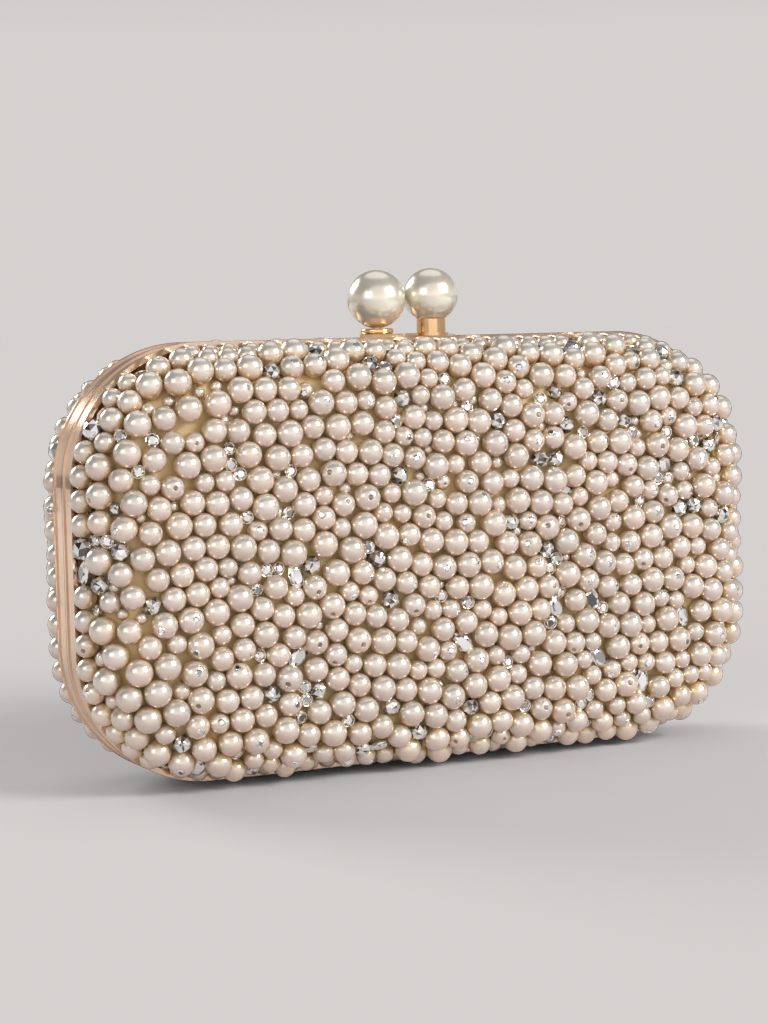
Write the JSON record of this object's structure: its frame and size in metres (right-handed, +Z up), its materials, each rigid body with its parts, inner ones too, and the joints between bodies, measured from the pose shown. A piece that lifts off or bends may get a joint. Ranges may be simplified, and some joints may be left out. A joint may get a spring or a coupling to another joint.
{
  "type": "evening bag",
  "caption": "Hard beaded evening bag: two domed halves in a hinged metal frame, held shut by a pair of crossing clasp balls.",
  "frame": {"origin": "under the middle of the bag, on the surface it stands on", "axes": "+X along the bag's length, -Y out of the front, +Z up towards the clasp"},
  "size_m": [0.183, 0.0512, 0.1227],
  "materials": {
    "beads": "pearl",
    "clasp_ball": "pearl",
    "cover": "satin",
    "lining": "satin",
    "shell": "matt",
    "frame": "polished rose gold plate",
    "hinge": "polished rose gold plate",
    "rivet": "polished rose gold plate",
    "pin": "brushed",
    "clasp_metal": "polished gold plate"
  },
  "bodies": {
    "back_half": {"back_shell": "shell", "back_cover": "cover", "back_lining": "lining", "back_beadwork": "beads", "back_frame": "frame", "back_hinge_leaf_left": "hinge", "back_hinge_leaf_right": "hinge", "back_hinge_rivets": "rivet", "hinge_pin_left": "pin", "hinge_pin_right": "pin", "back_clasp_bracket": "clasp_metal", "back_clasp_post": "clasp_metal", "back_clasp_ball": "clasp_ball"},
    "front_half": {"front_shell": "shell", "front_cover": "cover", "front_lining": "lining", "front_beadwork": "beads", "front_frame": "frame", "front_hinge_leaf_left": "hinge", "front_hinge_leaf_right": "hinge", "front_hinge_rivets": "rivet", "front_clasp_bracket": "clasp_metal", "front_clasp_post": "clasp_metal", "front_clasp_ball": "clasp_ball"}
  },
  "joints": [
    {"name": "opening", "type": "hinge", "parent": "back_half", "child": "front_half", "pos_m": [0, 0, 0.0011], "axis": [1, 0, 0], "range_deg": [0, 85]}
  ]
}
